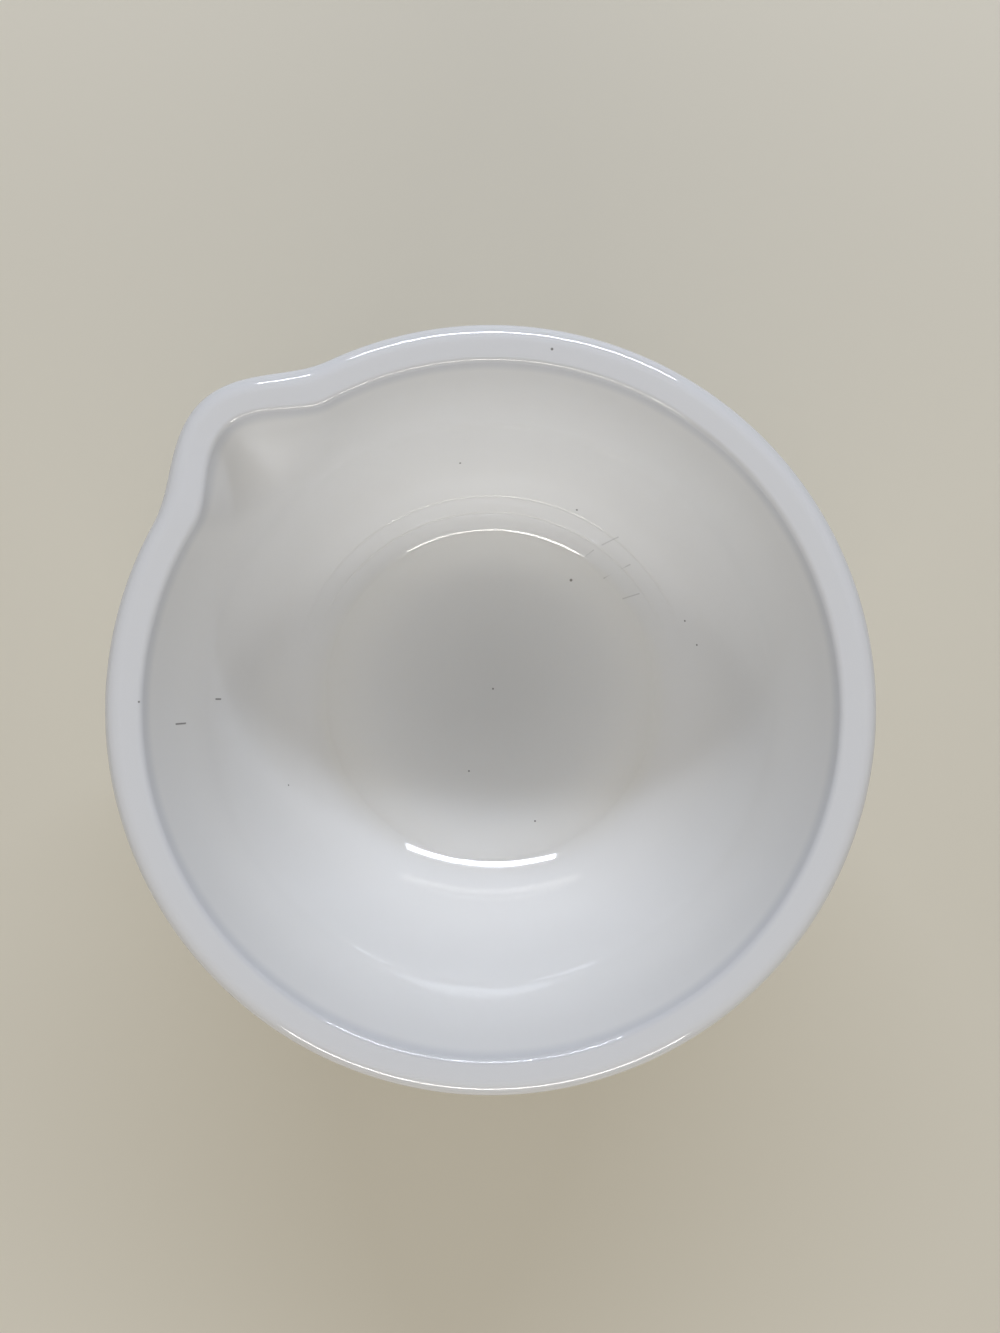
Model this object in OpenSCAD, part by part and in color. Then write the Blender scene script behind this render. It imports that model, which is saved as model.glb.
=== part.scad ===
// Batter bowl: one pressing of opal glass, with a thick banded rim, one pouring spout and a foot ring.
// Millimetres and degrees. The bowl stands on z = 0, its axis is z and its spout points along +x.

/* [Bowl] */
// Width across the rim, without the spout
rim_w = 235; // [210:1:260]
// Height from the resting plane to the crest of the rim
bowl_h = 122; // [108:1:136]
// Thickness of the glass wall below the rim band
wall_t = 6; // [4:0.5:7.5]
// Lean of the wall from the upright, in degrees
wall_lean = 6; // [4:1:12]

/* [Rim] */
// Thickness of the rim from the inside wall to its outer face
rim_t = 12; // [10:0.5:14]
// Height of the band that stands proud round the outside
band_h = 17; // [13:1:24]
// Rounding of the rim's outer edge
rim_outer_r = 5; // [3:0.5:6]
// Rounding of the rim's inner edge
rim_inner_r = 2; // [1.5:0.5:4]
// Fall of the rim's top face towards the inside, in degrees
rim_fall = 10; // [4:1:16]

/* [Floor] */
// Height of the middle of the floor over the resting plane
floor_h = 9.5; // [8:0.5:13]
// Radius of the floor's shallow dish
dish_r = 330; // [250:10:500]
// Width of the ring crease where the floor meets the wall
ring_w = 136; // [124:1:146]
// Steepness of the wall just above the ring, in degrees
ring_rise = 33; // [28:1:40]
// Radius of the ring crease
crease_r = 4; // [3:0.5:8]

/* [Foot] */
// Width across the foot ring
foot_w = 118; // [108:1:126]
// Width of the foot ring's glass at its root
foot_t = 7; // [5:0.5:9]
// Depth of the hollow inside the foot ring
foot_deep = 3; // [2:0.25:4]
// Rise of the hollow's middle over its edge
under_rise = 0.8; // [0.4:0.1:1.4]

/* [Spout] */
// How far the spout stands out past the rim
spout_reach = 11.3; // [6:0.1:16]
// Angle that the spout takes of the rim, in degrees
spout_span = 36; // [28:1:46]
// How far down from the crest the spout's channel runs
spout_drop = 46; // [30:1:60]

/* [Hidden] */

// How finely the round stretches are divided
lip_steps = 5;
band_steps = 3;
knuckle_steps = 8;
wall_steps = 6;
crease_steps = 3;
dish_steps = 3;
foot_steps = 2;
spout_steps = 24;
round_steps = 54;

// Edge roundings of the band and the foot
band_under_r = 2.5;
band_root_r = 3.5;
band_turn = 60;
foot_edge_r = 1.6;
foot_root_r = 2;

// Shares that shape the spout's channel
channel_width_share = 0.84;
channel_foot_share = 0.72;
valley_share = 0.75;
valley_round_share = 0.16;
valley_start_share = 0.2;

// Rim: centres of its two roundings, joined by the falling top face
rim_r = rim_w / 2;
outer_c = [rim_r - rim_outer_r, bowl_h - rim_outer_r];
wall_top_r = rim_r - rim_t;
crest_in = outer_c + rim_outer_r * [-sin(rim_fall), cos(rim_fall)];
inner_c_r = wall_top_r + rim_inner_r * cos(wall_lean);
face_in_r = inner_c_r - rim_inner_r * sin(rim_fall);
face_in_z = crest_in[1] - (crest_in[0] - face_in_r) * tan(rim_fall);
inner_c = [inner_c_r, face_in_z - rim_inner_r * cos(rim_fall)];
wall_top_z = inner_c[1] + rim_inner_r * sin(wall_lean);

// Floor: the dish runs into the ring crease, which ends at the wall's steepness there
ring_r = ring_w / 2;
dish_end = asin((ring_r - crease_r * sin(ring_rise)) / (dish_r - crease_r));
crease_c = [(dish_r - crease_r) * sin(dish_end),
            floor_h + dish_r - (dish_r - crease_r) * cos(dish_end)];
ring_z = crease_c[1] - crease_r * cos(ring_rise);

// Wall: an arc from the ring that ends at the wall's lean, then a straight stretch up to the rim.
// The arc's radius follows from the two ends.
wall_steep = 90 - wall_lean;
wall_dr = wall_top_r - ring_r;
wall_dz = wall_top_z - ring_z;
arc_dr = sin(wall_steep) - sin(ring_rise);
arc_dz = cos(ring_rise) - cos(wall_steep);
wall_det = sin(wall_lean) * arc_dz - cos(wall_lean) * arc_dr;
knuckle_r = (sin(wall_lean) * wall_dz - cos(wall_lean) * wall_dr) / wall_det;
knuckle_c = [ring_r - knuckle_r * sin(ring_rise), ring_z + knuckle_r * cos(ring_rise)];
knuckle_out_r = knuckle_r + wall_t;

// Band: its face and the wall below lean alike, a step apart
face_out = outer_c + rim_outer_r * [cos(wall_lean), -sin(wall_lean)];
along = [-sin(wall_lean), -cos(wall_lean)];
inward = [-cos(wall_lean), sin(wall_lean)];
wall_out_top = [wall_top_r, wall_top_z] - wall_t * inward;
step_t = (wall_out_top - face_out) * inward;
step_slant = (step_t - (band_under_r + band_root_r) * (1 - cos(band_turn))) / sin(band_turn);
band_face_l = (face_out[1] - (bowl_h - band_h + band_under_r)) / cos(wall_lean);
under_start = face_out + band_face_l * along;
under_end = under_start + band_under_r * sin(band_turn) * along
    + band_under_r * (1 - cos(band_turn)) * inward;
slant_dir = cos(band_turn) * along + sin(band_turn) * inward;
root_start = under_end + step_slant * slant_dir;
root_end = root_start + band_root_r * sin(band_turn) * along
    + band_root_r * (1 - cos(band_turn)) * inward;
wall_out_low = knuckle_c + knuckle_out_r * [sin(wall_steep), -cos(wall_steep)];

// Foot: the outer wall comes down at the ring's steepness and meets the foot's upright side
foot_r = foot_w / 2;
foot_in_r = foot_r - foot_t;
knuckle_out_end = knuckle_c + knuckle_out_r * [sin(ring_rise), -cos(ring_rise)];
foot_meet_z = knuckle_out_end[1] - (knuckle_out_end[0] - foot_r) * tan(ring_rise);
foot_turn = 90 - ring_rise;
foot_tangent = foot_root_r * tan(foot_turn / 2);
foot_root_c = [foot_r + foot_root_r, foot_meet_z - foot_tangent];

// Points of an arc about c, with the angle a measured from upright towards the outside
function arc(c, r, a0, a1, n) = [for (i = [0:n]) let (a = a0 + (a1 - a0) * i / n) c + r * [sin(a), cos(a)]];

// Points of a straight run between two ends that are left out
function between(p, q, n) = [for (i = [1:n - 1]) p + (q - p) * i / n];

// Floor and wall inside, from the axis up to the rim
inside_pts = concat(
    [for (i = [0:dish_steps]) let (a = dish_end * i / dish_steps)
        [dish_r * sin(a), floor_h + dish_r * (1 - cos(a))]],
    [for (i = [1:crease_steps]) let (a = dish_end + (ring_rise - dish_end) * i / crease_steps)
        crease_c + crease_r * [sin(a), -cos(a)]],
    [for (i = [1:knuckle_steps]) let (a = ring_rise + (wall_steep - ring_rise) * i / knuckle_steps)
        knuckle_c + knuckle_r * [sin(a), -cos(a)]]);
inside_end = inside_pts[len(inside_pts) - 1];
wall_in_pts = concat(inside_pts, between(inside_end, [wall_top_r, wall_top_z], wall_steps));

// Lip: inner rounding, falling top face and outer rounding
lip_in_pts = arc(inner_c, rim_inner_r, -wall_steep, -rim_fall, lip_steps);
lip_out_pts = concat(
    [crest_in],
    arc(outer_c, rim_outer_r, 0, 90, lip_steps),
    [face_out]);

// Outside of the band, the wall below it, the foot and the hollow under it
function step_arc(start, r, t0, t1) = [for (i = [1:band_steps]) let (t = t0 + (t1 - t0) * i / band_steps)
    start + r * abs(sin(t) - sin(t0)) * along + r * abs(cos(t) - cos(t0)) * inward];
band_pts = concat(
    [under_start],
    step_arc(under_start, band_under_r, 0, band_turn),
    [root_start],
    step_arc(root_start, band_root_r, band_turn, 0));
outside_pts = concat(
    between(root_end, wall_out_low, wall_steps),
    [for (i = [0:knuckle_steps]) let (a = wall_steep - (wall_steep - ring_rise) * i / knuckle_steps)
        knuckle_c + knuckle_out_r * [sin(a), -cos(a)]]);
foot_pts = concat(
    arc(foot_root_c, foot_root_r, -ring_rise, -90, foot_steps),
    arc([foot_r - foot_edge_r, foot_edge_r], foot_edge_r, 90, 180, foot_steps),
    arc([foot_in_r + foot_edge_r, foot_edge_r], foot_edge_r, 180, 270, foot_steps));
hollow_r = foot_in_r - foot_edge_r;
hollow_pts = concat(
    [for (i = [1:foot_steps]) let (a = 90 * i / foot_steps)
        [hollow_r + foot_edge_r * cos(a), foot_deep - foot_edge_r + foot_edge_r * sin(a)]],
    [for (i = [1:dish_steps]) let (q = 1 - i / dish_steps)
        [hollow_r * q, foot_deep + under_rise * (1 - q * q)]]);

// The whole section, round from the axis on the floor to the axis underneath.
// Each point carries how far it lies towards the outside: 0 on the inside wall, 1 on the outside.
lip_in_share = [for (i = [0:lip_steps]) i / lip_steps * rim_inner_r / rim_t];
section = concat(
    [for (p = wall_in_pts) [p[0], p[1], 0]],
    [for (i = [0:lip_steps]) [lip_in_pts[i][0], lip_in_pts[i][1], lip_in_share[i]]],
    [for (p = lip_out_pts) [p[0], p[1], lip_share(p[0])]],
    [for (p = concat(band_pts, outside_pts, foot_pts, hollow_pts)) [p[0], p[1], 1]]);

// Share of the rim's thickness that lies inside radius r
function lip_share(r) = min(1, (r - wall_top_r) / rim_t);

// How strongly the spout acts at height z: full at the rim, gone where the channel ends
channel_end_z = bowl_h - spout_drop;
function spout_hold(z) = z >= wall_top_z ? 1 : z <= channel_end_z ? 0
    : (1 - cos(180 * (z - channel_end_z) / (wall_top_z - channel_end_z))) / 2;

// A smooth swell over a share s of the half span, and a valley with a tight round bottom
function swell(s) = abs(s) >= 1 ? 0 : cos(90 * s) ^ 2;
function valley_run(s) = (sqrt(s * s + valley_round_share ^ 2) - valley_round_share)
    / (sqrt(1 + valley_round_share ^ 2) - valley_round_share);
function valley(s) = abs(s) >= 1 ? 0 : 1 - sin(90 * valley_run(s));

// Reach of the spout at azimuth phi for a section point p
function channel_half(z) = spout_span / 2 * channel_width_share
    * (channel_foot_share + (1 - channel_foot_share) * spout_hold(z));
function valley_part(z) = valley_share
    * min(1, max(0, (wall_top_z - z) / (spout_drop * valley_start_share)));
function inner_reach(phi, z) = let (s = phi / channel_half(z), k = valley_part(z))
    (1 - k) * swell(s) + k * valley(s);
function spout_out(phi, p) = spout_reach * spout_hold(p[1])
    * ((1 - p[2]) * inner_reach(phi, p[1]) + p[2] * swell(2 * phi / spout_span));

// Azimuths of the bowl's sections: close together over the spout, wider round the rest
azimuths = concat(
    [for (j = [0:spout_steps - 1]) spout_span * (j / spout_steps - 1 / 2)],
    [for (j = [0:round_steps - 1]) spout_span / 2 + (360 - spout_span) * j / round_steps]);

// The section's points at azimuth phi, in space, without its two ends on the axis
function section_at(phi) = [for (i = [1:len(section) - 2])
    let (p = section[i], r = p[0] + spout_out(phi, p)) [r * cos(phi), r * sin(phi), p[1]]];

// The whole bowl in one pressing: its section lofted round the axis and out through the spout
module bowl() {
    ring = len(section) - 2;
    turns = len(azimuths);
    floor_mid = turns * ring;
    under_mid = floor_mid + 1;
    pts = concat(
        [for (phi = azimuths) each section_at(phi)],
        [[0, 0, section[0][1]], [0, 0, section[ring + 1][1]]]);
    function at(j, i) = (j % turns) * ring + i;
    skin = [for (j = [0:turns - 1]) for (i = [0:ring - 2])
        each [[at(j, i), at(j + 1, i), at(j + 1, i + 1)],
              [at(j, i), at(j + 1, i + 1), at(j, i + 1)]]];
    floor_fan = [for (j = [0:turns - 1]) [floor_mid, at(j + 1, 0), at(j, 0)]];
    under_fan = [for (j = [0:turns - 1]) [under_mid, at(j, ring - 1), at(j + 1, ring - 1)]];
    color([0.93, 0.94, 0.93])
        polyhedron(points = pts, faces = concat(skin, floor_fan, under_fan), convexity = 6);
}

bowl();
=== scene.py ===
"""Batter bowl of white opal glass: its visual model, with the light and the camera of its photograph.

All of it is in metres in the row frame: the bowl stands on z = 0, its axis is z, and its spout
points along +x. Sizes that the solid also has are given in millimetres and degrees, as there.
"""

import logging
import math
from dataclasses import dataclass, field
from enum import Enum
from typing import Any

import bpy
import numpy as np
from mathutils import Matrix, Vector


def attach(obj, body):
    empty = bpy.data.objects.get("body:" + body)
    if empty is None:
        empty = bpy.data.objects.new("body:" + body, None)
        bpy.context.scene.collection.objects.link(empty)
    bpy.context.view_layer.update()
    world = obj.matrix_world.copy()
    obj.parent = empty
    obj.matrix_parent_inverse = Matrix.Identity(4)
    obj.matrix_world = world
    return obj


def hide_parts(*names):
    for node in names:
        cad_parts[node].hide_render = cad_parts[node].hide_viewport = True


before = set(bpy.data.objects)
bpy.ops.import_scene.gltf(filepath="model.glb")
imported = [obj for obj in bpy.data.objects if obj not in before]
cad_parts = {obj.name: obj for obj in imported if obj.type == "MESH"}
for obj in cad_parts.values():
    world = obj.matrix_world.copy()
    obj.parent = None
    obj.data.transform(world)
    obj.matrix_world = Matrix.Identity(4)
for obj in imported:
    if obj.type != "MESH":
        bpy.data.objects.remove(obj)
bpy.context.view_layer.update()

LOG = logging.getLogger("batter_bowl")
MM = 0.001


def linear_rgb(hex_colour: str) -> tuple[float, float, float]:
    """Turns an sRGB colour into the linear values that a shader takes.

    Args:
        hex_colour: The colour as "#rrggbb".

    Returns:
        Red, green and blue from 0 to 1, linear.
    """
    channels = (int(hex_colour[i : i + 2], 16) / 255 for i in (1, 3, 5))
    return tuple(c / 12.92 if c <= 0.04045 else ((c + 0.055) / 1.055) ** 2.4 for c in channels)


def add_node(
    tree: bpy.types.NodeTree,
    kind: str,
    settings: dict[str, Any] | None = None,
    inputs: dict[int | str, Any] | None = None,
) -> bpy.types.Node:
    """Adds one node, sets it up and links what feeds it.

    Args:
        tree: The node tree that gets the node.
        kind: The node's type, such as "ShaderNodeMath".
        settings: Attributes of the node and their values.
        inputs: Input sockets, by name or number, with a value or an output socket for each.

    Returns:
        The new node.
    """
    node = tree.nodes.new(kind)
    for name, value in (settings or {}).items():
        setattr(node, name, value)
    for key, value in (inputs or {}).items():
        if isinstance(value, bpy.types.NodeSocket):
            tree.links.new(value, node.inputs[key])
        else:
            node.inputs[key].default_value = value
    return node


def tilt(angle: float) -> np.ndarray:
    """Gives the (radius, height) direction that leans outwards from upright by angle, in degrees."""
    return np.array([math.sin(math.radians(angle)), math.cos(math.radians(angle))])


def arc(centre: np.ndarray, radius: float, start: float, end: float, steps: int) -> np.ndarray:
    """Makes the points of an arc in the section plane.

    Args:
        centre: The arc's centre as (radius, height).
        radius: The arc's own radius.
        start: Angle of the first point, from upright towards the outside, in degrees.
        end: Angle of the last point.
        steps: How many steps lie between them.

    Returns:
        One (radius, height) row for each point, both ends included.
    """
    angles = np.radians(np.linspace(start, end, steps + 1))
    return centre + radius * np.column_stack([np.sin(angles), np.cos(angles)])


def straight(start: np.ndarray, end: np.ndarray, steps: int) -> np.ndarray:
    """Makes the points of a straight run from start to end, both included."""
    return np.linspace(start, end, steps + 1)


@dataclass(frozen=True)
class BowlSizes:
    """The sizes of the glass, in millimetres and degrees, as the solid has them."""

    # Across the rim without the spout, and from the floor to the rim's crest
    rim_w: float = 235.0
    bowl_h: float = 122.0
    # The wall's thickness, and its lean outwards from the upright
    wall_t: float = 6.0
    wall_lean: float = 6.0
    # The rim's thickness, its band's height, its roundings and the fall of its top face inwards
    rim_t: float = 12.0
    band_h: float = 17.0
    rim_outer_r: float = 5.0
    rim_inner_r: float = 2.0
    rim_fall: float = 10.0
    # The floor's height in the middle and the radius of its shallow dish
    floor_h: float = 9.5
    dish_r: float = 330.0
    # The ring where floor and wall meet: its width, the wall's slope there and the crease's radius
    ring_w: float = 136.0
    ring_rise: float = 33.0
    crease_r: float = 4.0
    # The foot ring's width and thickness, the hollow in it, and how far the hollow's middle rises
    foot_w: float = 118.0
    foot_t: float = 7.0
    foot_deep: float = 3.0
    under_rise: float = 0.8
    # The roundings under the band and at its root, and how far its underside turns between them
    band_under_r: float = 2.5
    band_root_r: float = 3.5
    band_turn: float = 60.0
    # The roundings of the foot ring's edges and of its root
    foot_edge_r: float = 1.6
    foot_root_r: float = 2.0


@dataclass(frozen=True)
class SpoutSizes:
    """The sizes of the pouring spout, in millimetres and degrees, and the shares that shape it."""

    # How far it stands out past the rim, how much of the rim it takes, and how far down it runs
    reach: float = 11.3
    span: float = 36.0
    drop: float = 46.0
    # The channel's width as a share of the span, and its width at its foot as a share of that
    channel_width_share: float = 0.84
    channel_foot_share: float = 0.72
    # How much of the channel is a valley, how round the valley's bottom is, and how far down the
    # channel the valley takes to come in
    valley_share: float = 0.75
    valley_round_share: float = 0.16
    valley_start_share: float = 0.2


@dataclass(frozen=True)
class Steps:
    """How many steps each run of the bowl's section has, so that it looks smooth."""

    dish: int = 24
    crease: int = 18
    knuckle: int = 44
    wall: int = 30
    lip: int = 20
    lip_crest: int = 3
    lip_under: int = 2
    rim_face: int = 10
    band_face: int = 8
    band_arc: int = 8
    band_slant: int = 2
    foot_arc: int = 7
    foot_flat: int = 3


@dataclass
class Section:
    """The bowl's section: one line from the middle of the floor over the rim to the middle underneath."""

    sizes: BowlSizes = field(default_factory=BowlSizes)
    steps: Steps = field(default_factory=Steps)

    def __post_init__(self) -> None:
        """Works out the centres and ends of the section's runs."""
        s = self.sizes
        rim_r = s.rim_w / 2
        self.steep = 90 - s.wall_lean
        self.outer_c = np.array([rim_r - s.rim_outer_r, s.bowl_h - s.rim_outer_r])
        self.wall_top_r = rim_r - s.rim_t
        crest = self.outer_c + s.rim_outer_r * tilt(-s.rim_fall)
        inner_c_r = self.wall_top_r + s.rim_inner_r * math.cos(math.radians(s.wall_lean))
        face_in_r = inner_c_r - s.rim_inner_r * math.sin(math.radians(s.rim_fall))
        face_in_z = crest[1] - (crest[0] - face_in_r) * math.tan(math.radians(s.rim_fall))
        self.inner_c = np.array([inner_c_r, face_in_z - s.rim_inner_r * tilt(s.rim_fall)[1]])
        self.wall_top_z = self.inner_c[1] + s.rim_inner_r * math.sin(math.radians(s.wall_lean))
        self._fit_floor(s)
        self._fit_wall(s)

    def _fit_floor(self, s: BowlSizes) -> None:
        """Fits the crease between the floor's dish and the wall's foot."""
        rise = tilt(s.ring_rise)
        self.ring_r = s.ring_w / 2
        room = s.dish_r - s.crease_r
        self.dish_end = math.degrees(math.asin((self.ring_r - s.crease_r * rise[0]) / room))
        turn = tilt(self.dish_end)
        self.crease_c = np.array([room * turn[0], s.floor_h + s.dish_r - room * turn[1]])
        self.ring_z = self.crease_c[1] - s.crease_r * rise[1]

    def _fit_wall(self, s: BowlSizes) -> None:
        """Fits the wall's arc between the ring and the straight stretch below the rim."""
        rise, steep, lean = tilt(s.ring_rise), tilt(self.steep), tilt(s.wall_lean)
        wall_dr = self.wall_top_r - self.ring_r
        wall_dz = self.wall_top_z - self.ring_z
        arc_dr = steep[0] - rise[0]
        arc_dz = rise[1] - steep[1]
        det = lean[0] * arc_dz - lean[1] * arc_dr
        self.knuckle_r = (lean[0] * wall_dz - lean[1] * wall_dr) / det
        self.knuckle_c = np.array(
            [self.ring_r - self.knuckle_r * rise[0], self.ring_z + self.knuckle_r * rise[1]]
        )

    def inside(self) -> np.ndarray:
        """Makes the floor, the crease and the wall inside, from the axis up to the lip."""
        s, n = self.sizes, self.steps
        dish_c = np.array([0.0, s.floor_h + s.dish_r])
        dish = arc(dish_c, s.dish_r, 180, 180 - self.dish_end, n.dish)
        crease = arc(self.crease_c, s.crease_r, 180 - self.dish_end, 180 - s.ring_rise, n.crease)
        knuckle = arc(
            self.knuckle_c, self.knuckle_r, 180 - s.ring_rise, 180 - self.steep, n.knuckle
        )
        top = np.array([self.wall_top_r, self.wall_top_z])
        wall = straight(knuckle[-1], top, n.wall)
        return np.vstack([dish, crease[1:], knuckle[1:], wall[1:-1]])

    def lip(self) -> np.ndarray:
        """Makes the inner rounding, the falling top face and the outer rounding of the rim."""
        s, n = self.sizes, self.steps
        inner = arc(self.inner_c, s.rim_inner_r, -self.steep, -s.rim_fall, n.lip)
        crest = self.outer_c + s.rim_outer_r * tilt(-s.rim_fall)
        face = straight(inner[-1], crest, n.rim_face)
        outer = arc(self.outer_c, s.rim_outer_r, -s.rim_fall, 0, n.lip_crest)
        edge = arc(self.outer_c, s.rim_outer_r, 0, 90, n.lip)
        under = arc(self.outer_c, s.rim_outer_r, 90, 90 + s.wall_lean, n.lip_under)
        return np.vstack([inner, face[1:], outer[1:], edge[1:], under[1:]])

    def outside(self, lip_end: np.ndarray) -> np.ndarray:
        """Makes the band's face and underside, the wall below it, the foot and the hollow in it.

        Args:
            lip_end: The last point of the lip, where the band's face starts.

        Returns:
            The section's points from there to the axis underneath.
        """
        s, n = self.sizes, self.steps
        lean = tilt(s.wall_lean)
        along, inward = -lean, np.array([-lean[1], lean[0]])
        wall_out_top = np.array([self.wall_top_r, self.wall_top_z]) - s.wall_t * inward
        step = float((wall_out_top - lip_end) @ inward)
        turn = tilt(s.band_turn)
        slant = (step - (s.band_under_r + s.band_root_r) * (1 - turn[1])) / turn[0]
        face_l = (lip_end[1] - (s.bowl_h - s.band_h + s.band_under_r)) / lean[1]
        under_start = lip_end + face_l * along
        face = straight(lip_end, under_start, n.band_face)
        under = self._turn(under_start, s.band_under_r, 0, s.band_turn, along, inward)
        root_start = under[-1] + slant * (turn[1] * along + turn[0] * inward)
        slanted = straight(under[-1], root_start, n.band_slant)
        root = self._turn(root_start, s.band_root_r, s.band_turn, 0, along, inward)
        knuckle_r = self.knuckle_r + s.wall_t
        knuckle = arc(self.knuckle_c, knuckle_r, 180 - self.steep, 180 - s.ring_rise, n.knuckle)
        wall = straight(root[-1], knuckle[0], n.wall)
        parts = [face[1:], under[1:], slanted[1:], root[1:], wall[1:], knuckle[1:], self._foot()]
        return np.vstack(parts)

    def _turn(
        self,
        start: np.ndarray,
        radius: float,
        first: float,
        last: float,
        along: np.ndarray,
        inward: np.ndarray,
    ) -> np.ndarray:
        """Makes a rounding that starts at a point and turns between two angles off the wall's line.

        Args:
            start: Where the rounding starts.
            radius: Its radius.
            first: Its first angle off the wall's line, in degrees.
            last: Its last angle.
            along: The direction down the wall.
            inward: The direction into the glass.

        Returns:
            The rounding's points, both ends included.
        """
        angles = np.radians(np.linspace(first, last, self.steps.band_arc + 1))
        down = radius * np.abs(np.sin(angles) - math.sin(math.radians(first)))
        inner = radius * np.abs(np.cos(angles) - math.cos(math.radians(first)))
        return start + down[:, None] * along + inner[:, None] * inward

    def _foot(self) -> np.ndarray:
        """Makes the foot ring and the shallow hollow inside it, as far as the axis."""
        s, n = self.sizes, self.steps
        foot_r = s.foot_w / 2
        rise = math.radians(s.ring_rise)
        out_end = self.knuckle_c + (self.knuckle_r + s.wall_t) * tilt(180 - s.ring_rise)
        meet_z = out_end[1] - (out_end[0] - foot_r) * math.tan(rise)
        tangent = s.foot_root_r * math.tan((math.pi / 2 - rise) / 2)
        root_c = np.array([foot_r + s.foot_root_r, meet_z - tangent])
        in_r = foot_r - s.foot_t
        edge = s.foot_edge_r
        root = arc(root_c, s.foot_root_r, -s.ring_rise, -90, n.foot_arc)
        outer = arc(np.array([foot_r - edge, edge]), edge, 90, 180, n.foot_arc)
        flat_end = np.array([in_r + edge, 0.0])
        flat = straight(outer[-1], flat_end, n.foot_flat)
        inner = arc(np.array([in_r + edge, edge]), edge, 180, 270, n.foot_arc)
        hollow_r = in_r - edge
        hollow_c = np.array([hollow_r, s.foot_deep - edge])
        cove = arc(hollow_c, edge, 90, 0, n.foot_arc)
        q = np.linspace(1, 0, n.dish + 1)
        roof = np.column_stack([hollow_r * q, s.foot_deep + s.under_rise * (1 - q * q)])
        return np.vstack([root, outer, flat[1:], inner[1:], cove, roof[1:]])

    def points(self) -> np.ndarray:
        """Gives the whole section.

        Returns:
            Rows of radius, height, and share: how far a point lies towards the outside, from 0 on
            the inside wall to 1 on the outside.
        """
        inside = self.inside()
        lip = self.lip()
        outside = self.outside(lip[-1])
        share = np.clip((lip[:, 0] - self.wall_top_r) / self.sizes.rim_t, 0, 1)
        columns = [
            np.column_stack([inside, np.zeros(len(inside))]),
            np.column_stack([lip, share]),
            np.column_stack([outside, np.ones(len(outside))]),
        ]
        return np.vstack(columns)


@dataclass
class Spout:
    """The pouring spout: how far it carries the rim, the band and the wall outwards."""

    section: Section
    sizes: SpoutSizes = field(default_factory=SpoutSizes)

    def hold(self, z: np.ndarray) -> np.ndarray:
        """Gives how strongly the spout acts at a height: 1 at the rim, 0 where the channel ends."""
        end_z = self.section.sizes.bowl_h - self.sizes.drop
        up = np.clip((z - end_z) / (self.section.wall_top_z - end_z), 0, 1)
        return (1 - np.cos(np.pi * up)) / 2

    @staticmethod
    def swell(s: np.ndarray) -> np.ndarray:
        """Gives a smooth swell over a share s of the half span, 0 outside it."""
        return np.where(np.abs(s) >= 1, 0.0, np.cos(np.pi / 2 * np.clip(s, -1, 1)) ** 2)

    def valley(self, s: np.ndarray) -> np.ndarray:
        """Gives a valley over a share s of the half span, with a tight round bottom."""
        tight = self.sizes.valley_round_share
        run = (np.sqrt(s * s + tight**2) - tight) / (math.sqrt(1 + tight**2) - tight)
        return np.where(np.abs(s) >= 1, 0.0, 1 - np.sin(np.pi / 2 * np.clip(run, 0, 1)))

    def out(self, phi: np.ndarray, z: np.ndarray, share: np.ndarray) -> np.ndarray:
        """Gives how far the spout carries a point of the section outwards.

        Args:
            phi: The azimuth from the spout's middle, in degrees.
            z: The point's height.
            share: How far it lies towards the outside, from 0 to 1.

        Returns:
            The distance outwards, in millimetres.
        """
        s = self.sizes
        hold = self.hold(z)
        half = s.span / 2 * s.channel_width_share
        half = half * (s.channel_foot_share + (1 - s.channel_foot_share) * hold)
        start = s.drop * s.valley_start_share
        sharp = s.valley_share * np.clip((self.section.wall_top_z - z) / start, 0, 1)
        inner = (1 - sharp) * self.swell(phi / half) + sharp * self.valley(phi / half)
        outer = self.swell(2 * phi / s.span)
        return s.reach * hold * ((1 - share) * inner + share * outer)


# How wide each kind of mark is in millimetres, and how strongly it darkens the glass, from 0 to 1
SPECK_W, SPECK_DARK = 0.75, 0.85
SCRATCH_W, SCRATCH_DARK = 0.55, 0.22
DASH_W, DASH_DARK = 0.55, 0.8


@dataclass(frozen=True)
class Mark:
    """A mark that use has left on the inside of the glass, as a line between two points.

    Each point is an azimuth in degrees and a radius in millimetres, and lies on the inside surface.
    A speck is a line of no length.
    """

    start: tuple[float, float]
    end: tuple[float, float]
    width: float
    strength: float

    @classmethod
    def speck(cls, azimuth: float, radius: float, width: float = SPECK_W) -> "Mark":
        """Makes a dark speck."""
        return cls((azimuth, radius), (azimuth, radius), width, SPECK_DARK)

    @classmethod
    def scratch(cls, start: tuple[float, float], end: tuple[float, float]) -> "Mark":
        """Makes a faint grey scratch, as a metal whisk leaves it."""
        return cls(start, end, SCRATCH_W, SCRATCH_DARK)

    @classmethod
    def dash(cls, start: tuple[float, float], end: tuple[float, float]) -> "Mark":
        """Makes a short black dash, where metal rubbed off on the wall."""
        return cls(start, end, DASH_W, DASH_DARK)


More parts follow.
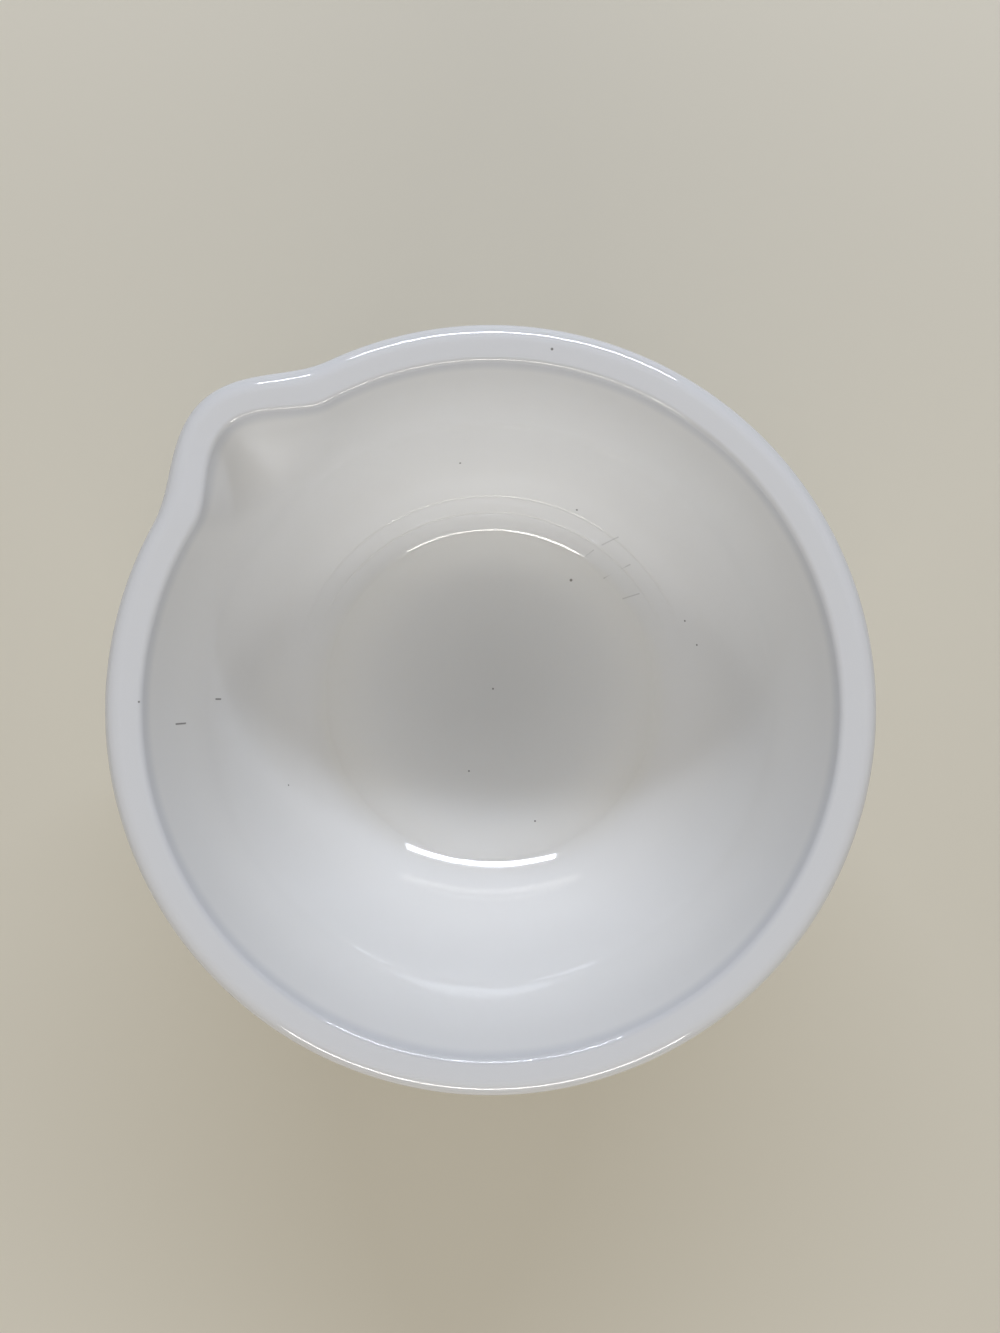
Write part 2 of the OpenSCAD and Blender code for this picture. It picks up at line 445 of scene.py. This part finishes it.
# The marks on the bowl in the photograph, each in its own place
WEAR = (
    Mark.speck(-52.2, 110.5),
    Mark.speck(-35.5, 91.2),
    Mark.speck(-67.5, 81.9),
    Mark.speck(-77.6, 58.0, 1.1),
    Mark.speck(-111.3, 82.7),
    Mark.speck(-118.5, 84.0),
    Mark.speck(-59.9, 3.0),
    Mark.speck(120.7, 32.6),
    Mark.speck(156.4, 54.8),
    Mark.speck(70.1, 86.2, 0.6),
    Mark.speck(45.1, 106.3, 0.6),
    Mark.dash((49.8, 103.1), (50.0, 102.3)),
    Mark.dash((46.2, 99.3), (46.3, 98.5)),
    Mark.scratch((-77.0, 69.2), (-77.9, 72.6)),
    Mark.scratch((-79.1, 75.9), (-81.3, 81.4)),
    Mark.scratch((-86.7, 67.0), (-89.3, 77.2)),
    Mark.scratch((-96.5, 67.3), (-98.1, 73.2)),
)


@dataclass(frozen=True)
class OpalGlass:
    """Opal glass, pressed in a mould and fire-polished.

    Fluoride crystals in the glass scatter the light, so it looks milk-white and glows a little where
    light comes through, under a clear gloss that mirrors lamps sharply.
    """

    # A plain white: a body that takes up almost no light
    body_hex: str = "#f1f1f1"
    # The same a shade deeper, where the opal is thinner
    cloud_hex: str = "#eff0f0"
    # The rim, painted a shade greyer and bluer: painted shade that stands in for the lesser light that
    # reaches it
    rim_painted_shade_hex: str = "#dee0e4"
    # The rim's painted shade comes in between these heights, in millimetres
    rim_painted_shade_from_to_mm: tuple[float, float] = (113.0, 119.0)
    # Dark grit that wear has left in the surface
    grit_hex: str = "#3a3734"
    # How deep light spreads, in millimetres: red goes furthest, as in any opal. In so white a body
    # this is a scattering every 1.2 mm or so, which lets a little light through the 6 mm wall
    scatter_mm: tuple[float, float, float] = (33.1, 31.8, 30.5)
    # How much of the light enters the body, on the floor and on the wall: the rest comes back from
    # its skin. The floor lets more in, and this gives it the dark patch over the foot's hollow
    floor_depth: float = 0.85
    wall_depth: float = 0.15
    # The heights between which the one turns into the other
    depth_from_to_mm: tuple[float, float] = (12.0, 24.0)
    # Plain soda-lime glass bends light by this much
    ior: float = 1.5
    # The mirror gloss, twice that of bare glass, so that the lamps' second reflection shows
    gloss: float = 1.0
    # The roughness: fire polish leaves the surface nearly perfect
    polish: float = 0.03
    # The roughness where washing and beaters have worn it most
    wear: float = 0.09
    # How much rougher a mark is
    mark_dulls: float = 0.5
    # Where a mark's edge starts and ends, as shares of its width
    mark_edge_shares: tuple[float, float] = (0.3, 0.7)
    # Opal clouds are about this wide
    cloud_mm: float = 55.0
    cloud_detail: float = 2.0
    cloud_roughness: float = 0.45
    # The soft unevenness of pressed glass: its width and its height
    peel_mm: float = 16.0
    peel_height_mm: float = 0.012
    peel_detail: float = 1.0
    # Fine rings that the plunger left low on the wall: their radii, half width and height
    ring_radii_mm: tuple[float, ...] = (74.4, 80.1)
    ring_half_w_mm: float = 0.5
    ring_height_mm: float = 0.15
    # The rings are full at this azimuth and fade out between these cosines of the angle from it
    ring_azimuth: float = -43.0
    ring_fade: tuple[float, float] = (0.7, 0.2)
    # Fine streaks round the wall from wiping: their spacing, and what part of the pattern shows
    streak_mm: float = 0.9
    streak_detail: float = 3.0
    streak_roughness: float = 0.6
    streak_from_to: tuple[float, float] = (0.45, 0.8)

    def build(self, marks: list[tuple[Mark, Vector, Vector]]) -> bpy.types.Material:
        """Makes the material.

        Args:
            marks: Each mark with its two end points in the row frame, in metres.

        Returns:
            The finished material.
        """
        material = bpy.data.materials.new("opal_glass_fire_polished")
        material.use_nodes = True
        tree = material.node_tree
        tree.nodes.clear()
        place = add_node(tree, "ShaderNodeTexCoord").outputs["Object"]
        place_mm = add_node(
            tree, "ShaderNodeVectorMath", {"operation": "SCALE"}, {0: place, "Scale": 1 / MM}
        ).outputs[0]
        worn = self._marks(tree, place_mm, marks)
        colour = self._colour(tree, place_mm, worn)
        rough = self._roughness(tree, place_mm, worn)
        normal = self._relief(tree, place_mm)
        depth = self._depth(tree, place_mm)
        shader = add_node(
            tree,
            "ShaderNodeBsdfPrincipled",
            {"subsurface_method": "RANDOM_WALK"},
            {
                "Base Color": colour,
                "Roughness": rough,
                "Normal": normal,
                "IOR": self.ior,
                "Specular IOR Level": self.gloss,
                "Subsurface Weight": depth,
                "Subsurface Radius": self.scatter_mm,
                "Subsurface Scale": MM,
            },
        )
        add_node(tree, "ShaderNodeOutputMaterial", {}, {"Surface": shader.outputs[0]})
        return material

    def _depth(
        self, tree: bpy.types.NodeTree, place_mm: bpy.types.NodeSocket
    ) -> bpy.types.NodeSocket:
        """Makes the share of light that enters the body, which falls from the floor to the wall.

        Args:
            tree: The material's node tree.
            place_mm: The place on the surface, in millimetres.

        Returns:
            The share.
        """
        depths = (self.floor_depth, self.wall_depth)
        return self._by_height(tree, place_mm, self.depth_from_to_mm, depths)

    @staticmethod
    def _by_height(
        tree: bpy.types.NodeTree,
        place_mm: bpy.types.NodeSocket,
        heights_mm: tuple[float, float],
        values: tuple[float, float],
    ) -> bpy.types.NodeSocket:
        """Makes a value that turns smoothly from one to another between two heights.

        Args:
            tree: The material's node tree.
            place_mm: The place on the surface, in millimetres.
            heights_mm: The heights where the turn starts and ends.
            values: The value below the first height and above the second.

        Returns:
            The value.
        """
        height = add_node(tree, "ShaderNodeSeparateXYZ", {}, {0: place_mm}).outputs["Z"]
        return add_node(
            tree,
            "ShaderNodeMapRange",
            {"interpolation_type": "SMOOTHSTEP"},
            {
                "Value": height,
                "From Min": heights_mm[0],
                "From Max": heights_mm[1],
                "To Min": values[0],
                "To Max": values[1],
            },
        ).outputs[0]

    def _marks(
        self,
        tree: bpy.types.NodeTree,
        place_mm: bpy.types.NodeSocket,
        marks: list[tuple[Mark, Vector, Vector]],
    ) -> bpy.types.NodeSocket:
        """Makes the mask of the marks.

        Args:
            tree: The material's node tree.
            place_mm: The place on the surface, in millimetres.
            marks: Each mark with its two end points, in metres.

        Returns:
            A value that is 0 on clean glass and up to 1 on a mark.
        """
        mask: Any = 0.0
        edge_start, edge_end = self.mark_edge_shares
        for mark, start, end in marks:
            a, run = start / MM, (end - start) / MM
            near = add_node(
                tree, "ShaderNodeVectorMath", {"operation": "SUBTRACT"}, {0: place_mm, 1: a}
            ).outputs[0]
            if run.length > 0:
                along = add_node(
                    tree,
                    "ShaderNodeVectorMath",
                    {"operation": "DOT_PRODUCT"},
                    {0: near, 1: run / run.length_squared},
                ).outputs["Value"]
                held = add_node(tree, "ShaderNodeClamp", {}, {"Value": along}).outputs[0]
                foot = add_node(
                    tree, "ShaderNodeVectorMath", {"operation": "SCALE"}, {0: run, "Scale": held}
                ).outputs[0]
                gap = add_node(
                    tree, "ShaderNodeVectorMath", {"operation": "DISTANCE"}, {0: near, 1: foot}
                ).outputs["Value"]
            else:
                gap = add_node(
                    tree, "ShaderNodeVectorMath", {"operation": "LENGTH"}, {0: near}
                ).outputs["Value"]
            spot = add_node(
                tree,
                "ShaderNodeMapRange",
                {"interpolation_type": "SMOOTHSTEP"},
                {
                    "Value": gap,
                    "From Min": mark.width * edge_start,
                    "From Max": mark.width * edge_end,
                    "To Min": mark.strength,
                    "To Max": 0.0,
                },
            ).outputs[0]
            mask = add_node(
                tree, "ShaderNodeMath", {"operation": "MAXIMUM"}, {0: mask, 1: spot}
            ).outputs[0]
        return mask

    def _colour(
        self, tree: bpy.types.NodeTree, place_mm: bpy.types.NodeSocket, worn: bpy.types.NodeSocket
    ) -> bpy.types.NodeSocket:
        """Makes the milk-white with its faint clouds, the rim's painted shade and the marks.

        Args:
            tree: The material's node tree.
            place_mm: The place on the surface, in millimetres.
            worn: The mask of the marks.

        Returns:
            The base colour.
        """
        cloud = add_node(
            tree,
            "ShaderNodeTexNoise",
            {},
            {
                "Vector": place_mm,
                "Scale": 1 / self.cloud_mm,
                "Detail": self.cloud_detail,
                "Roughness": self.cloud_roughness,
            },
        ).outputs["Fac"]
        body = add_node(
            tree,
            "ShaderNodeMix",
            {"data_type": "RGBA"},
            {
                "Factor": cloud,
                6: (*linear_rgb(self.body_hex), 1.0),
                7: (*linear_rgb(self.cloud_hex), 1.0),
            },
        ).outputs[2]
        # Painted shade: the rim is darkened towards its crest, in place of the lesser light that falls on
        # it
        up = self._by_height(tree, place_mm, self.rim_painted_shade_from_to_mm, (0.0, 1.0))
        rim_shaded = add_node(
            tree,
            "ShaderNodeMix",
            {"data_type": "RGBA"},
            {"Factor": up, 6: body, 7: (*linear_rgb(self.rim_painted_shade_hex), 1.0)},
        ).outputs[2]
        return add_node(
            tree,
            "ShaderNodeMix",
            {"data_type": "RGBA"},
            {"Factor": worn, 6: rim_shaded, 7: (*linear_rgb(self.grit_hex), 1.0)},
        ).outputs[2]

    def _roughness(
        self, tree: bpy.types.NodeTree, place_mm: bpy.types.NodeSocket, worn: bpy.types.NodeSocket
    ) -> bpy.types.NodeSocket:
        """Makes the polish, with fine streaks that run round the bowl and dull spots on the marks.

        Args:
            tree: The material's node tree.
            place_mm: The place on the surface, in millimetres.
            worn: The mask of the marks.

        Returns:
            The roughness.
        """
        way, out = self._off_axis(tree, place_mm)
        turns = add_node(
            tree, "ShaderNodeMath", {"operation": "MULTIPLY"}, {0: out, 1: 1 / self.streak_mm}
        ).outputs[0]
        across = add_node(tree, "ShaderNodeCombineXYZ", {}, {"Z": turns}).outputs[0]
        polar = add_node(
            tree, "ShaderNodeVectorMath", {"operation": "ADD"}, {0: way, 1: across}
        ).outputs[0]
        streak = add_node(
            tree,
            "ShaderNodeTexNoise",
            {},
            {
                "Vector": polar,
                "Scale": 1.0,
                "Detail": self.streak_detail,
                "Roughness": self.streak_roughness,
            },
        ).outputs["Fac"]
        faint, full = self.streak_from_to
        film = add_node(
            tree,
            "ShaderNodeMapRange",
            {},
            {
                "Value": streak,
                "From Min": faint,
                "From Max": full,
                "To Min": self.polish,
                "To Max": self.wear,
            },
        ).outputs[0]
        return add_node(
            tree,
            "ShaderNodeMath",
            {"operation": "MULTIPLY_ADD", "use_clamp": True},
            {0: worn, 1: self.mark_dulls, 2: film},
        ).outputs[0]

    @staticmethod
    def _off_axis(
        tree: bpy.types.NodeTree, place_mm: bpy.types.NodeSocket
    ) -> tuple[bpy.types.NodeSocket, bpy.types.NodeSocket]:
        """Gives a point's level direction from the bowl's axis and its distance from it.

        Args:
            tree: The material's node tree.
            place_mm: The place on the surface, in millimetres.

        Returns:
            The direction, one long, and the distance in millimetres.
        """
        level = add_node(
            tree,
            "ShaderNodeVectorMath",
            {"operation": "MULTIPLY"},
            {0: place_mm, 1: (1.0, 1.0, 0.0)},
        ).outputs[0]
        way = add_node(
            tree, "ShaderNodeVectorMath", {"operation": "NORMALIZE"}, {0: level}
        ).outputs[0]
        out = add_node(
            tree, "ShaderNodeVectorMath", {"operation": "LENGTH"}, {0: level}
        ).outputs["Value"]
        return way, out

    def _relief(
        self, tree: bpy.types.NodeTree, place_mm: bpy.types.NodeSocket
    ) -> bpy.types.NodeSocket:
        """Makes the surface's own relief: the plunger's rings and the unevenness of pressed glass.

        Args:
            tree: The material's node tree.
            place_mm: The place on the surface, in millimetres.

        Returns:
            The shading normal.
        """
        rings = self._rings(tree, *self._off_axis(tree, place_mm))
        peel = add_node(
            tree,
            "ShaderNodeTexNoise",
            {},
            {"Vector": place_mm, "Scale": 1 / self.peel_mm, "Detail": self.peel_detail},
        ).outputs["Fac"]
        relief = add_node(
            tree,
            "ShaderNodeMath",
            {"operation": "MULTIPLY_ADD"},
            {0: peel, 1: self.peel_height_mm, 2: rings},
        ).outputs[0]
        return add_node(
            tree, "ShaderNodeBump", {}, {"Strength": 1.0, "Distance": MM, "Height": relief}
        ).outputs[0]

    def _rings(
        self,
        tree: bpy.types.NodeTree,
        way: bpy.types.NodeSocket,
        out: bpy.types.NodeSocket,
    ) -> bpy.types.NodeSocket:
        """Makes the plunger's rings, which fade out round the bowl.

        Args:
            tree: The material's node tree.
            way: A point's level direction from the bowl's axis.
            out: Its distance from the axis, in millimetres.

        Returns:
            The rings' height, in millimetres.
        """
        turn = math.radians(self.ring_azimuth)
        cosine = add_node(
            tree,
            "ShaderNodeVectorMath",
            {"operation": "DOT_PRODUCT"},
            {0: way, 1: (math.cos(turn), math.sin(turn), 0.0)},
        ).outputs["Value"]
        shown, gone = self.ring_fade
        height = add_node(
            tree,
            "ShaderNodeMapRange",
            {"interpolation_type": "SMOOTHSTEP"},
            {
                "Value": cosine,
                "From Min": gone,
                "From Max": shown,
                "To Min": 0.0,
                "To Max": self.ring_height_mm,
            },
        ).outputs[0]
        rings: Any = 0.0
        for radius in self.ring_radii_mm:
            off = add_node(
                tree, "ShaderNodeMath", {"operation": "SUBTRACT"}, {0: out, 1: radius}
            ).outputs[0]
            off = add_node(tree, "ShaderNodeMath", {"operation": "ABSOLUTE"}, {0: off}).outputs[0]
            ridge = add_node(
                tree,
                "ShaderNodeMapRange",
                {"interpolation_type": "SMOOTHSTEP"},
                {
                    "Value": off,
                    "From Min": 0.0,
                    "From Max": self.ring_half_w_mm,
                    "To Min": 1.0,
                    "To Max": 0.0,
                },
            ).outputs[0]
            rings = add_node(
                tree,
                "ShaderNodeMath",
                {"operation": "MULTIPLY_ADD"},
                {0: ridge, 1: height, 2: rings},
            ).outputs[0]
        return rings


@dataclass
class Bowl:
    """The bowl, one pressing of opal glass, as a fine mesh in place of the solid's facets."""

    section: Section = field(default_factory=Section)
    glass: OpalGlass = field(default_factory=OpalGlass)
    marks: tuple[Mark, ...] = WEAR
    # How finely the mesh is divided over the spout and round the rest
    spout_steps: int = 72
    round_steps: int = 324
    spout: Spout = field(init=False)

    def __post_init__(self) -> None:
        """Makes the spout that goes with the section."""
        self.spout = Spout(self.section)

    def azimuths(self) -> np.ndarray:
        """Gives the azimuths of the mesh's sections, close together over the spout, in degrees."""
        half = self.spout.sizes.span / 2
        over = np.linspace(-half, half, self.spout_steps, endpoint=False)
        rest = np.linspace(half, 360 - half, self.round_steps, endpoint=False)
        return np.concatenate([over, rest])

    def mesh(self) -> bpy.types.Mesh:
        """Lofts the section round the axis and out through the spout.

        Returns:
            The closed mesh of the glass, smooth shaded.
        """
        points = self.section.points()
        ring = points[1:-1]
        azimuths = self.azimuths()
        signed = (azimuths + 180) % 360 - 180
        phi, z = np.meshgrid(signed, ring[:, 1], indexing="ij")
        share = np.broadcast_to(ring[:, 2], phi.shape)
        radius = ring[:, 0] + self.spout.out(phi, z, share)
        angle = np.radians(azimuths)[:, None]
        grid = np.stack([radius * np.cos(angle), radius * np.sin(angle), z], axis=-1)
        turns, count = radius.shape
        ends = np.array([[0, 0, points[0, 1]], [0, 0, points[-1, 1]]])
        verts = np.vstack([grid.reshape(-1, 3), ends]) * MM
        floor_mid, under_mid = turns * count, turns * count + 1
        faces: list[tuple[int, ...]] = []
        for j in range(turns):
            here, there = j * count, (j + 1) % turns * count
            faces.extend(
                (here + i, there + i, there + i + 1, here + i + 1) for i in range(count - 1)
            )
            faces.append((floor_mid, there, here))
            faces.append((under_mid, here + count - 1, there + count - 1))
        mesh = bpy.data.meshes.new("bowl_glass")
        mesh.from_pydata(verts.tolist(), [], faces)
        mesh.validate()
        mesh.shade_smooth()
        return mesh

    def on_inside(self, azimuth: float, radius: float) -> Vector:
        """Finds the point of the inside surface at an azimuth and a radius.

        Args:
            azimuth: The azimuth from the spout, in degrees.
            radius: The distance from the axis, in millimetres.

        Returns:
            The point in the row frame, in metres.
        """
        points = self.section.points()
        crest = int(np.argmax(points[:, 1]))
        inner = points[: crest + 1]
        phi = np.full(len(inner), (azimuth + 180) % 360 - 180)
        reach = inner[:, 0] + self.spout.out(phi, inner[:, 1], inner[:, 2])
        z = float(np.interp(radius, reach, inner[:, 1]))
        turn = math.radians(azimuth)
        return Vector((radius * math.cos(turn), radius * math.sin(turn), z)) * MM

    def build(self) -> bpy.types.Object:
        """Makes the bowl, dresses it and sets it in the solid's place.

        Returns:
            The bowl's object.
        """
        placed = [(m, self.on_inside(*m.start), self.on_inside(*m.end)) for m in self.marks]
        bowl = bpy.data.objects.new("bowl_glass", self.mesh())
        bpy.context.scene.collection.objects.link(bowl)
        bowl.data.materials.append(self.glass.build(placed))
        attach(bowl, "root")
        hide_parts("bowl")
        return bowl


@dataclass(frozen=True)
class MattPaint:
    """Matt paint on the floor: a warm, pale stone tone without shine, off which the bowl stands out."""

    colour_hex: str = "#dad5c6"
    roughness: float = 0.9

    def build(self) -> bpy.types.Material:
        """Makes the material.

        Returns:
            The finished material.
        """
        material = bpy.data.materials.new("painted_floor_matt")
        material.use_nodes = True
        tree = material.node_tree
        tree.nodes.clear()
        shader = add_node(
            tree,
            "ShaderNodeBsdfPrincipled",
            {},
            {"Base Color": (*linear_rgb(self.colour_hex), 1.0), "Roughness": self.roughness},
        )
        add_node(tree, "ShaderNodeOutputMaterial", {}, {"Surface": shader.outputs[0]})
        return material


@dataclass
class Stage:
    """The plain pale floor that the bowl stands on."""

    paint: MattPaint = field(default_factory=MattPaint)
    size_m: float = 12.0

    def build(self) -> bpy.types.Object:
        """Makes the floor.

        Returns:
            The floor's object.
        """
        half = self.size_m / 2
        corners = [(-half, -half, 0), (half, -half, 0), (half, half, 0), (-half, half, 0)]
        mesh = bpy.data.meshes.new("floor")
        mesh.from_pydata(corners, [], [(0, 1, 2, 3)])
        floor = bpy.data.objects.new("floor", mesh)
        bpy.context.scene.collection.objects.link(floor)
        mesh.materials.append(self.paint.build())
        return floor


@dataclass(frozen=True)
class StripLamp:
    """One long, level strip lamp that faces the bowl."""

    name: str
    # The lamp's direction from the bowl: row azimuth and height above the floor, in degrees
    azimuth: float
    elevation: float
    distance_m: float
    length_m: float
    height_m: float
    # How bright the lamp looks, as a multiple of white
    shines: float
    colour_hex: str

    def build(self) -> bpy.types.Object:
        """Makes the lamp.

        Returns:
            The lamp's object.
        """
        turn, lift = math.radians(self.azimuth), math.radians(self.elevation)
        away = Vector(
            (math.cos(turn) * math.cos(lift), math.sin(turn) * math.cos(lift), math.sin(lift))
        )
        along = Vector((-math.sin(turn), math.cos(turn), 0))
        facing = Matrix((along, away.cross(along), away)).transposed()
        data = bpy.data.lights.new(self.name, "AREA")
        data.shape = "RECTANGLE"
        data.size = self.length_m
        data.size_y = self.height_m
        data.energy = self.shines * math.pi * self.length_m * self.height_m
        data.color = linear_rgb(self.colour_hex)
        strip = bpy.data.objects.new(self.name, data)
        strip.matrix_world = Matrix.Translation(away * self.distance_m) @ facing.to_4x4()
        bpy.context.scene.collection.objects.link(strip)
        return strip


# The lamps that the gloss mirrors in the photograph: a bright cool one beyond the bowl, and a
# weaker one behind the camera
LAMPS = (
    StripLamp(
        name="strip_lamp_far",
        azimuth=-47.0,
        elevation=37.5,
        distance_m=1.36,
        length_m=1.1,
        height_m=0.062,
        shines=45.5,
        colour_hex="#e8f0ff",
    ),
    StripLamp(
        name="strip_lamp_near",
        azimuth=136.0,
        elevation=34.5,
        distance_m=1.36,
        length_m=1.3,
        height_m=0.1,
        shines=14.3,
        colour_hex="#fffcf6",
    ),
)


class SeenBy(Enum):
    """The kinds of ray that meet the backdrop instead of the fill, by their sockets' names."""

    CAMERA = "Is Camera Ray"
    GLOSS = "Is Glossy Ray"
    GLASS = "Is Transmission Ray"


@dataclass
class Light:
    """The strip lamps and a soft fill from all round."""

    lamps: tuple[StripLamp, ...] = LAMPS
    # The fill's colour, and how bright it is at the horizon and straight overhead
    fill_hex: str = "#fff9f2"
    fill_low: float = 0.04
    fill_high: float = 0.98
    # How fast it falls off from overhead, as a power of the height
    fill_falloff: float = 4.0
    # The backdrop that shows above the floor, and in the gloss
    backdrop_hex: str = "#cbc8bc"

    def build(self) -> None:
        """Makes the lamps and the fill."""
        for lamp in self.lamps:
            lamp.build()
        self._world()

    def _world(self) -> None:
        """Makes the fill, and the plain backdrop that the camera and the gloss see."""
        world = bpy.data.worlds.new("studio")
        bpy.context.scene.world = world
        world.use_nodes = True
        tree = world.node_tree
        tree.nodes.clear()
        way = add_node(tree, "ShaderNodeTexCoord").outputs["Generated"]
        lift = add_node(tree, "ShaderNodeSeparateXYZ", {}, {0: way}).outputs["Z"]
        lift = add_node(tree, "ShaderNodeClamp", {}, {"Value": lift}).outputs[0]
        lift = add_node(
            tree, "ShaderNodeMath", {"operation": "POWER"}, {0: lift, 1: self.fill_falloff}
        ).outputs[0]
        strength = add_node(
            tree,
            "ShaderNodeMapRange",
            {},
            {"Value": lift, "To Min": self.fill_low, "To Max": self.fill_high},
        ).outputs[0]
        fill = add_node(
            tree,
            "ShaderNodeBackground",
            {},
            {"Color": (*linear_rgb(self.fill_hex), 1.0), "Strength": strength},
        )
        back = add_node(
            tree,
            "ShaderNodeBackground",
            {},
            {"Color": (*linear_rgb(self.backdrop_hex), 1.0), "Strength": 1.0},
        )
        path = add_node(tree, "ShaderNodeLightPath").outputs
        seen: Any = 0.0
        for ray in SeenBy:
            seen = add_node(
                tree, "ShaderNodeMath", {"operation": "MAXIMUM"}, {0: seen, 1: path[ray.value]}
            ).outputs[0]
        both = add_node(
            tree, "ShaderNodeMixShader", {}, {0: seen, 1: fill.outputs[0], 2: back.outputs[0]}
        )
        add_node(tree, "ShaderNodeOutputWorld", {}, {"Surface": both.outputs[0]})


@dataclass
class Viewpoint:
    """The camera: where the photograph was taken from, over the open bowl."""

    # The photograph's long side and its focal length, in its pixels, and the sensor's long side
    image_long_px: float = 1333.0
    focal_px: float = 966.0
    sensor_mm: float = 36.0
    # The camera's height, and how far it stands from the axis along the image's right and up
    height_mm: float = 412.0
    right_mm: float = -2.25
    up_mm: float = 19.3
    # How far it looks to the right and down from straight down, in degrees
    look_right: float = 0.86
    look_down: float = 1.02
    # The row azimuth that is up in the image
    up_azimuth: float = -43.0

    def build(self) -> bpy.types.Object:
        """Makes the camera.

        Returns:
            The camera's object.
        """
        turn = math.radians(self.up_azimuth)
        up = Vector((math.cos(turn), math.sin(turn), 0))
        right = up.cross(Vector((0, 0, 1)))
        look = Vector((0, 0, -1))
        look += right * math.tan(math.radians(self.look_right))
        look -= up * math.tan(math.radians(self.look_down))
        back = -look.normalized()
        side = up.cross(back).normalized()
        data = bpy.data.cameras.new("camera")
        data.sensor_width = self.sensor_mm
        data.lens = self.focal_px / self.image_long_px * self.sensor_mm
        camera = bpy.data.objects.new("camera", data)
        turned = Matrix((side, back.cross(side), back)).transposed()
        place = (right * self.right_mm + up * self.up_mm + Vector((0, 0, self.height_mm))) * MM
        camera.matrix_world = Matrix.Translation(place) @ turned.to_4x4()
        bpy.context.scene.collection.objects.link(camera)
        bpy.context.scene.camera = camera
        return camera


def main() -> None:
    """Builds the bowl, the floor, the light and the camera."""
    logging.basicConfig(level=logging.INFO, format="%(name)s: %(message)s")
    bpy.context.scene.view_settings.view_transform = "Standard"
    bowl = Bowl().build()
    LOG.info("%s: %d faces", bowl.name, len(bowl.data.polygons))
    floor = Stage().build()
    LOG.info("%s: stage", floor.name)
    Light().build()
    camera = Viewpoint().build()
    LOG.info("%s: %.1f mm lens", camera.name, camera.data.lens)


if __name__ == "__main__":
    main()
